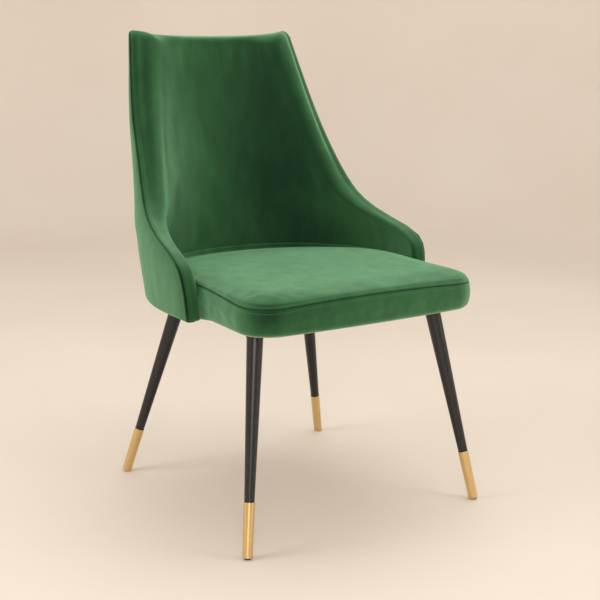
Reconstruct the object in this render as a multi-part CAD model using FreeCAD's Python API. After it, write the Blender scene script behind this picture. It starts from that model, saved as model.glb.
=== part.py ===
"""Dining chair: a velvet-covered winged back shell and a boxed seat cushion on a plywood base,
standing on four splayed, tapered steel legs with brass-finished tips.

Millimetres, +Z up. The chair faces -Y and is symmetric about the plane X = 0. The origin is on
the floor, under the middle of the chair's bounding box. Each sub-part is written to its own STEP
file in parts/.
"""
import FreeCAD, Part
import math
import os

V = FreeCAD.Vector

# ---------------------------------------------------------------- driving dimensions
TOP_CORNER_Z = 946.5        # highest point of the back, just inside its rounded corners
TOP_MIDDLE_Z = 930.0        # the top edge dips towards its middle
TOP_CORNER_DROP = 22.0      # how far each top corner rounds down
SHELL_T = 32.0              # back shell, outer velvet to inner velvet
SHELL_LOW_Z = 406.0         # lower edge of the outer velvet
ELBOW_SHIFT = 36.0          # plan elbow of the inner face, inboard of the outer one
CUSHION_TOP_Z = 482.0       # top of the seat's crown
CUSHION_LOW_Z = 409.0       # lower edge of the seat's boxing
CROWN_R = 3000.0            # the seat top is a shallow dome of this radius
CROWN_Y = -10.0             # the dome's highest point, front to back
SEAT_FRONT_Y = -316.0       # front edge at its corners
SEAT_BOW = 6.0              # the front edge bows forward by this at its middle
SEAT_HALF_FRONT = 261.0     # half width at the front corners
SEAT_HALF_REAR = 252.0      # half width where the arms begin
SEAT_CORNER_R = 66.0        # plan radius of the front corners
SEAT_REAR_Y = 228.0         # back of the cushion, on the centre line
SEAT_ELBOW_X = 276.0        # plan elbow of the cushion's rounded rear
ARM_FRONT_Y = -106.0        # front ends of the shell's arms

BOARD_LOW_Z, BOARD_T = 409.0, 15.0
BOARD_TOP_Z = BOARD_LOW_Z + BOARD_T
WADDING_LOW_Z = 407.0       # lower edge of the wadding
BOARD_INSET = 9.0           # board's edge behind the seat's velvet, where foam wraps round it
BOARD_DEPTH = 8.0           # board's edge behind the shell's outer velvet
CLOTH_INSET = 6.0           # dust cloth's edge inside the board's edge
VELVET = 1.5
WADDING = 3.5
PLY = 10.0
RIM_WRAP = 4.0              # velvet and wadding turned over the shell's rim
DUST_COVER_T = 0.8
PANEL_SEAM_T = 0.62         # place of the seam between side and back panels along each section

PLATE_SIDE, PLATE_T = 64.0, 2.5
PLATE_HOLE_PITCH = 46.0
PLATE_CORNER_R = 8.0
COLLAR_H, COLLAR_LIP = 15.0, 0.6
COLLAR_FLARE = 0.104        # growth of the collar's radius per millimetre of its height
LEG_TAPER = 0.02            # growth of the leg's radius per millimetre of its length
LEG_FOOT_R = 7.4            # radius of the tube where its axis meets the floor
LEG_WALL = 1.5
TUBE_START = 6.0            # lower end of the tube, along the leg's axis from the floor
SLEEVE_START, SLEEVE_END = 3.2, 104.0       # ends of the brass-finished sleeve, along the same axis
SLEEVE_LOW_R, SLEEVE_TOP_R = 9.3, 10.35
GLIDE_R, GLIDE_DOME_H, GLIDE_STEM_R, GLIDE_STEM_L = 7.9, 3.0, 5.6, 16.0
GLIDE_LIFT = 0.2            # the glide's round wall starts this far above the floor

BOLT_HOLE_R = 3.3
BOLT_R, BOLT_HEAD_R, BOLT_CROWN_R, BOLT_HEAD_H = 2.9, 5.5, 4.0, 3.3
BOLT_SOCKET_R, BOLT_SOCKET_DEPTH = 2.3, 1.9
BOLT_SHORT = 2.0            # bolts end this far below the board's top
WASHER_R, WASHER_T = 6.2, 1.0
NUT_BARREL_R, NUT_BARREL_L, NUT_FLANGE_R, NUT_FLANGE_T = 4.0, 12.0, 9.0, 1.2
THREAD_GAP = 0.05
SCREW_R, SCREW_HEAD_R, SCREW_HEAD_H, SCREW_L = 2.0, 4.0, 2.2, 36.0
SCREW_PLACES = [0.12, 0.34, 0.56, 0.78, 0.93]     # along each half of the shell
STAPLE_W, STAPLE_WIRE, STAPLE_LEG = 9.0, 0.9, 6.0
STAPLE_INSET, STAPLE_COUNT = 9.0, 44

FOOT_FRONT, HEAD_FRONT = V(271, -295, 0), V(208, -224, 394)
FOOT_REAR, HEAD_REAR = V(254, 249, 0), V(157, 161, 394)

# (height, half width, y) along the shell's outer rim: arm front, arm corner, arm, wing, top
RIM = [(405, 285, -106), (450, 288, -103), (494, 292, -95), (521, 293, -71), (541, 287, -13),
       (562, 277, 52), (596, 263, 108), (686, 242, 175), (779, 227, 227), (942, 198, 291)]
BACK_Y = [(405, 259), (500, 268), (600, 281), (750, 299), (942, 323.6)]      # outer face, middle
ELBOW_X = [(405, 312), (500, 322), (600, 260), (750, 226), (942, 188)]     # outer face's elbow
RIM_TURN = [(405, 0), (560, 0), (750, 12), (942, 25)]                      # rim face, degrees
# the padding is thicker inside the wings: how much further in and further forward the inner face's
# rim stands, and how much further inboard its elbow does
WING_RIM = [(405, 0, 0), (530, 0, 0), (560, 8, 3), (600, 13, 9), (650, 10, 15), (700, 6, 22),
            (780, 5, 29), (860, 4, 29), (950, 4, 22)]
WING_ELBOW = [(405, 0), (500, 0), (530, 20), (560, 52), (600, 78), (650, 86), (750, 68),
              (850, 48), (950, 32)]
ROWS = [0, .05, .09, .13, .165, .19, .215, .235, .255, .275, .30, .33, .37, .43, .52, .64, .77,
        .89, 1]             # heights of the shell's sections, as fractions of its own height
COLUMNS = 12                # sections across each half of a shell layer
OVERRUN = 20.0              # shapes used to trim others run past them by this
TRIM_REACH = 500.0          # half the side of a block that trims across the whole chair
HOLLOW_REACH = 6.0          # the shape that hollows the inner cover starts this far outside the shell

# ---------------------------------------------------------------- helpers


def smooth(table, x, column=1):
    """Monotone cubic through (x, value) rows: no overshoot between them."""
    xs = [row[0] for row in table]
    ys = [row[column] for row in table]
    steps = [b - a for a, b in zip(xs, xs[1:])]
    slopes = [(b - a) / h for a, b, h in zip(ys, ys[1:], steps)]
    tangents = [slopes[0]]
    for a, b in zip(slopes, slopes[1:]):
        tangents.append(0.0 if a * b <= 0 else 2.0 * a * b / (a + b))
    tangents.append(slopes[-1])
    i = max(0, min(len(steps) - 1, sum(1 for value in xs[1:-1] if value <= x)))
    s = (x - xs[i]) / steps[i]
    return (ys[i] * (1 + 2 * s) * (1 - s) ** 2 + ys[i + 1] * s * s * (3 - 2 * s)
            + steps[i] * s * (1 - s) * (tangents[i] * (1 - s) - tangents[i + 1] * s))


def save(name, shape):
    solids = shape.Solids
    result = solids[0] if len(solids) == 1 else Part.makeCompound(solids)
    result.exportStep(f"parts/{name}.step")
    box = result.optimalBoundingBox()
    print(f"{name:26s} solids {len(solids):3d} valid {result.isValid()} vol {result.Volume:11.0f}"
          f"  x {box.XMin:7.1f} {box.XMax:7.1f}  y {box.YMin:7.1f} {box.YMax:7.1f}"
          f"  z {box.ZMin:6.1f} {box.ZMax:6.1f}")


def cylinder(radius, low, high, x, y):
    return Part.makeCylinder(radius, high - low, V(x, y, low))


def slab(low, high):
    """Level block across the whole chair."""
    return Part.makeBox(2 * TRIM_REACH, 2 * TRIM_REACH, high - low,
                        V(-TRIM_REACH, -TRIM_REACH, low))


def prism(wire, low, high):
    face = Part.Face(wire)
    face.translate(V(0, 0, low))
    return face.extrude(V(0, 0, high - low))


# ---------------------------------------------------------------- back shell


def plan_poles(z, depth):
    """Poles of the half section at height z, depth mm in from the outer face."""
    k = depth / SHELL_T
    ply_in = VELVET + WADDING + PLY
    wing = max(0.0, min(1.0, (depth - ply_in) / (SHELL_T - VELVET - ply_in)))
    width, rim_y = smooth(RIM, z), smooth(RIM, z, 2)
    back, elbow, turn = smooth(BACK_Y, z), smooth(ELBOW_X, z), math.radians(smooth(RIM_TURN, z))
    middle = V(0, back - depth, 0)
    bend = V(elbow - k * ELBOW_SHIFT - wing * smooth(WING_ELBOW, z), back - depth, 0)
    end = V(width - depth * math.cos(turn) - wing * smooth(WING_RIM, z),
            rim_y - depth * math.sin(turn) - wing * smooth(WING_RIM, z, 2), 0)
    return middle, bend, end


def top_z(t, trim):
    """Height of the shell's top edge: dipped in the middle, rounded down at the corners."""
    edge = TOP_MIDDLE_Z + (TOP_CORNER_Z - TOP_MIDDLE_Z) * t * t - TOP_CORNER_DROP * abs(t) ** 14
    return edge - trim


def layer_face(depth, t_range, low, trim):
    """Surface at one depth in the shell, between two places across it (-1 and 1 are the rims)."""
    grid = []
    for i in range(2 * COLUMNS + 1):
        t = t_range[0] + (t_range[1] - t_range[0]) * i / (2 * COLUMNS)
        column = []
        for row in ROWS:
            z = low + (top_z(t, trim) - low) * row
            middle, bend, end = plan_poles(z, depth)
            s = abs(t) * (1 - trim / (2 * (end - bend).Length))
            point = middle * (1 - s) ** 2 + bend * 2 * s * (1 - s) + end * s * s
            column.append(V(math.copysign(point.x, t), point.y, z))
        grid.append(column)
    surface = Part.BSplineSurface()
    surface.interpolate(grid)
    return surface


def shell_layer(depths, low, trim=0.0, t_range=(-1.0, 1.0)):
    """Closed solid between two depths of the shell."""
    outer, inner = [layer_face(depth, t_range, low, trim) for depth in depths]
    faces = [outer.toShape(), inner.toShape()]
    u0, u1, v0, v1 = outer.bounds()
    a0, a1, b0, b1 = inner.bounds()
    pairs = [(outer.uIso(u0), inner.uIso(a0)), (outer.uIso(u1), inner.uIso(a1)),
             (outer.vIso(v0), inner.vIso(b0)), (outer.vIso(v1), inner.vIso(b1))]
    for first, second in pairs:
        faces.append(Part.makeRuledSurface(first.toShape(), second.toShape()))
    shell = Part.makeShell(faces)
    shell.sewShape()
    solid = Part.Solid(shell)
    if solid.Volume < 0:
        solid.reverse()
    return solid


def base_outline(depth):
    """Plan of the shell's footprint at the base board, cut off square at the arms' front."""
    middle, bend, end = plan_poles(BOARD_LOW_Z, depth)
    front = ARM_FRONT_Y + RIM_WRAP
    right = Part.BezierCurve()
    right.setPoles([middle, bend, V(end.x, front, 0)])
    left = Part.BezierCurve()
    left.setPoles([V(-p.x, p.y, 0) for p in right.getPoles()])
    chord = Part.LineSegment(V(-end.x, front, 0), V(end.x, front, 0))
    return Part.Wire([left.toShape().Edges[0], chord.toShape(), right.toShape().Edges[0]])


# ---------------------------------------------------------------- seat


def seat_outline(inset):
    """Plan of the seat: bowed front, round front corners, sides tapering back, round rear."""
    half_f, half_r = SEAT_HALF_FRONT - inset, SEAT_HALF_REAR - inset
    front, radius = SEAT_FRONT_Y + inset, SEAT_CORNER_R - inset
    corner_y, corner_x = front + radius, half_f - radius
    rear, elbow = SEAT_REAR_Y - inset, SEAT_ELBOW_X - inset
    diagonal = radius * math.sqrt(0.5)
    edges = [Part.Arc(V(-corner_x, front, 0), V(0, front - SEAT_BOW, 0), V(corner_x, front, 0))]
    for side in (1, -1):
        edges.append(Part.Arc(V(side * corner_x, front, 0),
                              V(side * (corner_x + diagonal), corner_y - diagonal, 0),
                              V(side * half_f, corner_y, 0)))
        edges.append(Part.LineSegment(V(side * half_f, corner_y, 0),
                                      V(side * half_r, ARM_FRONT_Y, 0)))
        rear_curve = Part.BezierCurve()
        rear_curve.setPoles([V(side * half_r, ARM_FRONT_Y, 0), V(side * elbow, rear, 0),
                             V(0, rear, 0)])
        edges.append(rear_curve)
    return Part.Wire(Part.__sortEdges__([edge.toShape() for edge in edges]))


def dome(depth):
    """Ball whose top is the seat's crown, depth mm below the velvet's surface."""
    return Part.makeSphere(CROWN_R - depth, V(0, CROWN_Y, CUSHION_TOP_Z - CROWN_R))


# ---------------------------------------------------------------- legs


def leg_frames():
    """Name, point on the floor and unit vector up each leg's axis."""
    for end, foot, head in (("front", FOOT_FRONT, HEAD_FRONT), ("rear", FOOT_REAR, HEAD_REAR)):
        for side, sign in (("right", 1), ("left", -1)):
            axis = head - foot
            axis.normalize()
            yield (f"{end}_{side}", V(sign * foot.x, foot.y, 0), V(sign * axis.x, axis.y, axis.z))


def leg_radius(s):
    return LEG_FOOT_R + LEG_TAPER * s


def leg_cone(foot, axis, start, end, r_start, r_end):
    return Part.makeCone(r_start, r_end, end - start, foot + axis * start, axis)


def leg_tube(foot, axis, top):
    """Tapered tube, cut level where it meets its mounting plate."""
    end = (top + OVERRUN) / axis.z
    outside = leg_cone(foot, axis, TUBE_START, end, leg_radius(TUBE_START), leg_radius(end))
    bore = leg_cone(foot, axis, TUBE_START, end, leg_radius(TUBE_START) - LEG_WALL,
                    leg_radius(end) - LEG_WALL)
    above = slab(top, top + 2 * OVERRUN)
    return outside.cut(bore).cut(above), outside.cut(above)


def leg_sleeve(foot, axis, tube_solid):
    sleeve = leg_cone(foot, axis, SLEEVE_START, SLEEVE_END, SLEEVE_LOW_R, SLEEVE_TOP_R)
    below = leg_cone(foot, axis, SLEEVE_START, TUBE_START, leg_radius(SLEEVE_START),
                     leg_radius(TUBE_START))
    return sleeve.cut(tube_solid).cut(below)


def foot_glide(foot, axis):
    """Plastic foot: stem up the tube, round pad, dome flattened where it stands."""
    dome_r = (GLIDE_R ** 2 + GLIDE_DOME_H ** 2) / (2 * GLIDE_DOME_H)
    tilt = math.sqrt(1 - axis.z ** 2)
    pad_low = (GLIDE_R * tilt + GLIDE_LIFT) / axis.z
    apex = foot + axis * (pad_low - GLIDE_DOME_H)
    pad = Part.makeCylinder(GLIDE_R, SLEEVE_START - pad_low + GLIDE_DOME_H, apex, axis)
    ball = Part.makeSphere(dome_r, apex + axis * dome_r)
    stem = Part.makeCylinder(GLIDE_STEM_R, GLIDE_STEM_L, foot + axis * SLEEVE_START, axis)
    root = Part.makeCylinder(LEG_FOOT_R, TUBE_START - SLEEVE_START, foot + axis * SLEEVE_START,
                             axis)
    return pad.common(ball).fuse([root, stem]).removeSplitter().cut(slab(-OVERRUN, 0))


def leg_plate(x, y, top, foot, axis, tube_solid):
    """Mounting plate with four bolt holes and a flared collar welded round the leg."""
    half = PLATE_SIDE / 2
    plate = Part.makeBox(PLATE_SIDE, PLATE_SIDE, PLATE_T, V(x - half, y - half, top - PLATE_T))
    uprights = [edge for edge in plate.Edges if abs(edge.tangentAt(edge.FirstParameter).z) > 0.9]
    plate = plate.makeFillet(PLATE_CORNER_R, uprights)
    for hole_x, hole_y in bolt_places(x, y):
        plate = plate.cut(cylinder(BOLT_HOLE_R, top - PLATE_T, top, hole_x, hole_y))
    seat = (top - PLATE_T) / axis.z
    lip_r = leg_radius(seat) + COLLAR_LIP
    collar = leg_cone(foot, axis, seat - COLLAR_H, seat + OVERRUN, lip_r,
                      lip_r + COLLAR_FLARE * (COLLAR_H + OVERRUN))
    above = slab(top - PLATE_T, top + 2 * OVERRUN)
    return plate.fuse(collar.cut(above).cut(tube_solid)).removeSplitter()


def bolt_places(x, y):
    half = PLATE_HOLE_PITCH / 2
    return [(x + a * half, y + b * half) for a in (-1, 1) for b in (-1, 1)]


# ---------------------------------------------------------------- fasteners

def leg_bolt(x, y, low):
    """Button-head bolt with its head below and its shank up through the base board."""
    head = Part.makeCone(BOLT_CROWN_R, BOLT_HEAD_R, BOLT_HEAD_H, V(x, y, low - BOLT_HEAD_H))
    points = [V(x + BOLT_SOCKET_R * math.cos(math.radians(60 * i)),
                y + BOLT_SOCKET_R * math.sin(math.radians(60 * i)), 0) for i in range(7)]
    socket = prism(Part.makePolygon(points), low - BOLT_HEAD_H, low - BOLT_HEAD_H
                   + BOLT_SOCKET_DEPTH)
    return head.fuse(cylinder(BOLT_R, low, BOARD_TOP_Z - BOLT_SHORT, x, y)).cut(socket)


def washer(x, y, top):
    return cylinder(WASHER_R, top - WASHER_T, top, x, y).cut(
        cylinder(BOLT_HOLE_R, top - WASHER_T, top, x, y))


def tee_nut(x, y):
    flange = cylinder(NUT_FLANGE_R, BOARD_TOP_Z - NUT_FLANGE_T, BOARD_TOP_Z, x, y)
    barrel = cylinder(NUT_BARREL_R, BOARD_TOP_Z - NUT_BARREL_L, BOARD_TOP_Z, x, y)
    return flange.fuse(barrel).cut(cylinder(BOLT_R + THREAD_GAP, BOARD_LOW_Z, BOARD_TOP_Z, x, y))


def shell_screw(x, y):
    """Countersunk wood screw up through the base board into the plywood shell's edge."""
    head = Part.makeCone(SCREW_HEAD_R, SCREW_R, SCREW_HEAD_H, V(x, y, BOARD_LOW_Z))
    shank = cylinder(SCREW_R, BOARD_LOW_Z, BOARD_LOW_Z + SCREW_L, x, y)
    return head.fuse(shank)


def screw_places():
    poles = plan_poles(BOARD_TOP_Z, VELVET + WADDING + PLY / 2)
    for t in SCREW_PLACES:
        point = poles[0] * (1 - t) ** 2 + poles[1] * 2 * t * (1 - t) + poles[2] * t * t
        for side in (1, -1):
            yield side * point.x, point.y


def staple(x, y, angle):
    """Wire staple driven up through the dust cover."""
    bar = Part.makeBox(STAPLE_W, STAPLE_WIRE, STAPLE_WIRE,
                       V(-STAPLE_W / 2, -STAPLE_WIRE / 2, -STAPLE_WIRE))
    legs = [Part.makeBox(STAPLE_WIRE, STAPLE_WIRE, STAPLE_LEG, V(offset, -STAPLE_WIRE / 2, 0))
            for offset in (-STAPLE_W / 2, STAPLE_W / 2 - STAPLE_WIRE)]
    shape = bar.fuse(legs).removeSplitter()
    shape.rotate(V(0, 0, 0), V(0, 0, 1), angle)
    shape.translate(V(x, y, BOARD_LOW_Z - DUST_COVER_T))
    return shape


# ---------------------------------------------------------------- assembly


def build():
    plate_top = BOARD_LOW_Z - DUST_COVER_T
    plate_low = plate_top - PLATE_T
    parts = {}

    # legs, with their plates, sleeves and feet
    heads = []
    for name, foot, axis in leg_frames():
        centre = foot + axis * (plate_low / axis.z)
        heads.append(centre)
        tube, filled = leg_tube(foot, axis, plate_low)
        parts[f"leg_tube_{name}"] = tube
        parts[f"leg_sleeve_{name}"] = leg_sleeve(foot, axis, filled)
        parts[f"foot_glide_{name}"] = foot_glide(foot, axis)
        parts[f"leg_plate_{name}"] = leg_plate(centre.x, centre.y, plate_top, foot, axis, filled)
    places = [place for head in heads for place in bolt_places(head.x, head.y)]
    bolts = [leg_bolt(x, y, plate_low - WASHER_T) for x, y in places]
    parts["leg_bolts"] = Part.makeCompound(bolts)
    parts["leg_washers"] = Part.makeCompound([washer(x, y, plate_low) for x, y in places])
    nuts = [tee_nut(x, y) for x, y in places]
    parts["leg_tee_nuts"] = Part.makeCompound(nuts)

    # base board: front part under the cushion, rear part under the shell
    screws = [shell_screw(x, y) for x, y in screw_places()]
    front = prism(seat_outline(BOARD_INSET), BOARD_LOW_Z, BOARD_TOP_Z)
    rear = prism(base_outline(BOARD_DEPTH), BOARD_LOW_Z, BOARD_TOP_Z)
    board = front.fuse(rear).removeSplitter()
    footprint = prism(base_outline(BOARD_DEPTH), SHELL_LOW_Z - OVERRUN, BOARD_TOP_Z)
    holes = [cylinder(NUT_BARREL_R, BOARD_LOW_Z, BOARD_TOP_Z, x, y) for x, y in places]
    parts["base_board"] = board.cut(holes + nuts + screws)
    parts["shell_screws"] = Part.makeCompound(screws)

    # dust cover and its staples
    cloth_front = prism(seat_outline(BOARD_INSET + CLOTH_INSET), plate_top, BOARD_LOW_Z)
    cloth_rear = prism(base_outline(BOARD_DEPTH + CLOTH_INSET), plate_top, BOARD_LOW_Z)
    cloth = cloth_front.fuse(cloth_rear).removeSplitter()
    bolt_holes = [cylinder(BOLT_HOLE_R, plate_top, BOARD_LOW_Z, x, y) for x, y in places]
    underside = min(cloth.Faces, key=lambda face: face.CenterOfMass.z)
    points = underside.OuterWire.discretize(Number=STAPLE_COUNT + 1)
    middle = V(0, CROWN_Y, plate_top)
    staples = []
    for before, here, after in zip(points[-2:-1] + points, points[:-1], points[1:]):
        run = after - before
        inward = middle - here
        inward.normalize()
        spot = here + inward * STAPLE_INSET
        staples.append(staple(spot.x, spot.y, math.degrees(math.atan2(run.y, run.x))))
    parts["cover_staples"] = Part.makeCompound(staples)
    parts["dust_cover"] = cloth.cut(bolt_holes + staples)
    parts["base_board"] = parts["base_board"].cut(staples)

    # seat cushion
    ball = dome(VELVET)
    block = prism(seat_outline(0.0), CUSHION_LOW_Z, CUSHION_TOP_Z + OVERRUN).common(dome(0.0))
    core = prism(seat_outline(VELVET), CUSHION_LOW_Z - OVERRUN, CUSHION_TOP_Z + OVERRUN)
    parts["seat_top_cover"] = block.cut(ball)
    parts["seat_boxing_cover"] = block.common(ball).cut(core).cut(footprint)
    foam = prism(seat_outline(VELVET), CUSHION_LOW_Z + VELVET, CUSHION_TOP_Z)
    parts["seat_foam"] = foam.common(ball).cut(board).cut(footprint)

    # back shell, outside to inside
    ply_out = VELVET + WADDING
    ply_in = ply_out + PLY
    foam_in = SHELL_T - VELVET
    seam = PANEL_SEAM_T
    spans = {"outer_back_panel": (-seam, seam), "outer_side_panel_right": (seam, 1.0),
             "outer_side_panel_left": (-1.0, -seam)}
    for name, span in spans.items():
        parts[name] = shell_layer((0.0, VELVET), SHELL_LOW_Z, t_range=span)
    parts["back_wadding"] = shell_layer((VELVET, ply_out), WADDING_LOW_Z, RIM_WRAP)
    parts["back_ply_shell"] = shell_layer((ply_out, ply_in), BOARD_TOP_Z, RIM_WRAP).cut(screws)
    parts["back_foam"] = shell_layer((ply_in, foam_in), BOARD_TOP_Z, RIM_WRAP)
    whole = shell_layer((VELVET, SHELL_T), SHELL_LOW_Z)
    hollow = shell_layer((-HOLLOW_REACH, foam_in), SHELL_LOW_Z - OVERRUN, RIM_WRAP)
    parts["back_inner_cover"] = whole.cut(hollow).cut(footprint)
    return parts


os.makedirs("parts", exist_ok=True)
for part_name, part_shape in sorted(build().items()):
    save(part_name, part_shape)
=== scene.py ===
"""Dining chair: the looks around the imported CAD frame.

Metres, +Z up, the chair faces -Y and is symmetric about X = 0. The velvet covers, their padding
and their stitching are built here. The steel, brass, plywood and fasteners are the CAD nodes
themselves with finished materials.
"""
import math

import bmesh
import bpy
import numpy as np
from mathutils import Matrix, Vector


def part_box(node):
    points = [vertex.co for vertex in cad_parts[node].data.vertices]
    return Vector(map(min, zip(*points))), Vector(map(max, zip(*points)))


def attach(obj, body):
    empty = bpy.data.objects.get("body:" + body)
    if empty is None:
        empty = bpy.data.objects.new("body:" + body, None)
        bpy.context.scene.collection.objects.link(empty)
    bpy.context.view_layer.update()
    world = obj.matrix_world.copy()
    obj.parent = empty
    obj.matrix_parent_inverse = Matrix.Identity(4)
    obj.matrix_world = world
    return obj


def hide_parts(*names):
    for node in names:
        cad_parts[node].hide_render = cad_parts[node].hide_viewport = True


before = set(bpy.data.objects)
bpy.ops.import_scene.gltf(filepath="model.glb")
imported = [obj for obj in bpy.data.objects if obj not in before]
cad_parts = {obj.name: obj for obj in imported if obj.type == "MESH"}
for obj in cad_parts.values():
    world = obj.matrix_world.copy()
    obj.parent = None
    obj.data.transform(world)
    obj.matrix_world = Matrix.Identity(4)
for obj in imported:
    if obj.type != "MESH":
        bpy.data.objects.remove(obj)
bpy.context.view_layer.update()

MM = 0.001

# ---------------------------------------------------------------- dimensions of the covers
SHELL_T = 32 * MM           # back shell, outer velvet to inner velvet
ELBOW_SHIFT = 36 * MM       # plan elbow of the inner face, inboard of the outer one
MID_DEPTH = 16 * MM         # distances across the shell are measured at this depth
TOP_MIDDLE_Z = 930 * MM
TOP_RISE = 16.5 * MM        # the top edge rises by this from its middle to its corners
CORNER_W, CORNER_H = 12 * MM, 21 * MM       # rounding of the top corners
PANEL_SEAM_T = 0.62         # place of the seam between side and back panels along each section
SHELL_HEM_Z = 405.8 * MM    # underside of the outer covers
HEM_DEPTH = 14.4 * MM       # the covers end here, under the board
BOARD_TOP_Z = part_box("base_board")[1].z
PLY_DEPTH = 15.3 * MM       # the back cushion's hidden face lies on the plywood shell
PLY_EDGE = 3.4 * MM         # and wraps round the plywood's edge

# (height, half width, y) along the shell's outer rim: arm front, arm corner, arm, wing, top
RIM = np.array([(405, 285, -106), (450, 288, -103), (494, 292, -95), (521, 293, -71),
                (541, 287, -13), (562, 277, 52), (596, 263, 108), (686, 242, 175),
                (779, 227, 227), (942, 198, 291)]) * MM
BACK_Y = np.array([(405, 259), (500, 268), (600, 281), (750, 299), (942, 323.6)]) * MM
ELBOW_X = np.array([(405, 312), (500, 322), (600, 260), (750, 226), (942, 188)]) * MM
RIM_TURN = np.array([(405, 0), (560, 0), (750, 12), (942, 25)]) * (MM, 1)
# extra foam inside the wings, the full amount at the inner face and less towards the plywood:
# its rim stands further in and further forward than the outer one, and its elbow further inboard
WING_RIM = np.array([(405, 0, 0), (530, 0, 0), (560, 8, 3), (600, 13, 9), (650, 10, 15),
                     (700, 6, 22), (780, 5, 29), (860, 4, 29), (950, 4, 22)]) * MM
WING_ELBOW = np.array([(405, 0), (500, 0), (530, 20), (560, 52), (600, 78), (650, 86), (750, 68),
                       (850, 48), (950, 32)]) * MM
# rounding from the rim to the inner face: its width and its height, by height and along the top
ROLL = np.array([(405, 7, 6), (505, 8, 7), (545, 13, 12), (620, 18, 15), (720, 22, 15),
                 (950, 24, 15)]) * MM
TOP_ROLL = np.array([10, 9]) * MM
# how far the outer panels stand proud, and how wide the strip at their edge is where that grows
BULGE = np.array([(400, .6), (600, 1.2), (700, 2.2), (780, 2.6), (950, 3.4)]) * MM
BULGE_EDGE_W = 22 * MM

# seat outline, the same as the CAD model's
SEAT_FRONT_Y, SEAT_BOW = -316 * MM, 6 * MM
SEAT_HALF_FRONT, SEAT_HALF_REAR = 261 * MM, 252 * MM
SEAT_CORNER_R = 66 * MM
SEAT_REAR_Y, SEAT_ELBOW_X, ARM_FRONT_Y = 228 * MM, 276 * MM, -106 * MM
CROWN_R, CROWN_Y, CROWN_Z = 3.0, -10 * MM, 482 * MM
SEAM_LIFT = 3 * MM          # the top's seam above that dome
TOP_Z, REAR_FALL = 481.5 * MM, 12.5 * MM    # level top, and how far it falls to the rear
EDGE_ROLL_W, REAR_ROLL_H = 20 * MM, 2.5 * MM    # the top's roll at its edge, lower at the rear
SEAT_HEM_Z = 408.6 * MM


# ---------------------------------------------------------------- small tools


def smooth(table, x, column=1):
    """Monotone cubic through the table's rows."""
    xs, ys = table[:, 0], table[:, column]
    steps = np.diff(xs)
    slopes = np.diff(ys) / steps
    a, b = slopes[:-1], slopes[1:]
    inner = np.where(a * b > 0, 2 * a * b / np.where(a * b > 0, a + b, 1), 0)
    tangents = np.concatenate([slopes[:1], inner, slopes[-1:]])
    i = np.clip(np.searchsorted(xs, x, side="right") - 1, 0, len(steps) - 1)
    s = (x - xs[i]) / steps[i]
    return (ys[i] * (1 + 2 * s) * (1 - s) ** 2 + ys[i + 1] * s * s * (3 - 2 * s)
            + steps[i] * s * (1 - s) * (tangents[i] * (1 - s) - tangents[i + 1] * s))


def ease(x):
    """0 below 0, 1 above 1, smooth in between."""
    x = np.clip(x, 0, 1)
    return x * x * (3 - 2 * x)


def quarter(x):
    """Quarter circle: 1 at x = 0 falling to 0 at x = 1, with an upright start and a level end."""
    x = np.clip(x, 0, 1)
    return 1 - np.sqrt(1 - (1 - x) ** 2)


def blurred(values, width):
    """Values at even spacing, smoothed over about width samples; ends keep their slope."""
    reach = int(3 * width)
    kernel = np.exp(-0.5 * (np.arange(-reach, reach + 1) / width) ** 2)
    before = 2 * values[0] - values[reach:0:-1]
    after = 2 * values[-1] - values[-2:-reach - 2:-1]
    return np.convolve(np.concatenate([before, values, after]), kernel / kernel.sum(), "valid")


def spaced(fine, coarse, total=1.0):
    """Places from 0 to total: the fine ones as given, then even steps of about coarse."""
    rest = max(1, round((total - fine[-1]) / coarse))
    return np.concatenate([fine, np.linspace(fine[-1], total, rest + 1)[1:]])


def normals_of(grid, wrap=False):
    """Unit normals of a grid of points, from its neighbours."""
    du = np.gradient(grid, axis=0)
    if wrap:
        du = (np.roll(grid, -1, 0) - np.roll(grid, 1, 0)) / 2
    dv = np.gradient(grid, axis=1)
    n = np.cross(du, dv)
    return n / np.maximum(np.linalg.norm(n, axis=-1, keepdims=True), 1e-12)


class Mesh:
    """Collects points and faces of one piece."""

    def __init__(self):
        self.points, self.shades, self.loose, self.faces, self.count = [], [], [], [], 0

    def add(self, grid, seam=0.0, loose=0.0):
        """Adds points and returns their numbers, in the same shape.

        seam is 1 down in a seam, where the velvet is darkened by crushed pile and painted shade,
        and loose is 1 where the cloth is free of its seams.
        """
        grid = np.asarray(grid, float)
        flat = grid.reshape(-1, 3)
        numbers = self.count + np.arange(len(flat)).reshape(grid.shape[:-1])
        self.points.append(flat)
        self.shades.append(np.broadcast_to(seam, grid.shape[:-1]).reshape(-1))
        self.loose.append(np.broadcast_to(loose, grid.shape[:-1]).reshape(-1))
        self.count += len(flat)
        return numbers

    def strip(self, a, b, wrap=False):
        """Quads between two rows of points."""
        n = len(a)
        for i in range(n if wrap else n - 1):
            j = (i + 1) % n
            self.faces.append((int(a[i]), int(a[j]), int(b[j]), int(b[i])))

    def quads(self, numbers, wrap=False):
        for a, b in zip(numbers.T[:-1], numbers.T[1:]):
            self.strip(a, b, wrap)

    def face(self, corners):
        self.faces.append(tuple(int(c) for c in corners))

    def build(self, name):
        data = bpy.data.meshes.new(name)
        data.from_pydata(np.concatenate(self.points).tolist(), [], self.faces)
        # the seam mask darkens the velvet: crushed pile and painted shade
        layer = data.attributes.new("seam", "FLOAT", "POINT")
        layer.data.foreach_set("value", np.concatenate(self.shades).astype(np.float32))
        data.validate()
        bm = bmesh.new()
        bm.from_mesh(data)
        bmesh.ops.recalc_face_normals(bm, faces=bm.faces)
        bm.to_mesh(data)
        bm.free()
        data.shade_smooth()
        piece = bpy.data.objects.new(name, data)
        bpy.context.scene.collection.objects.link(piece)
        return piece


CLOTH_FRAMES = 20


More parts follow.
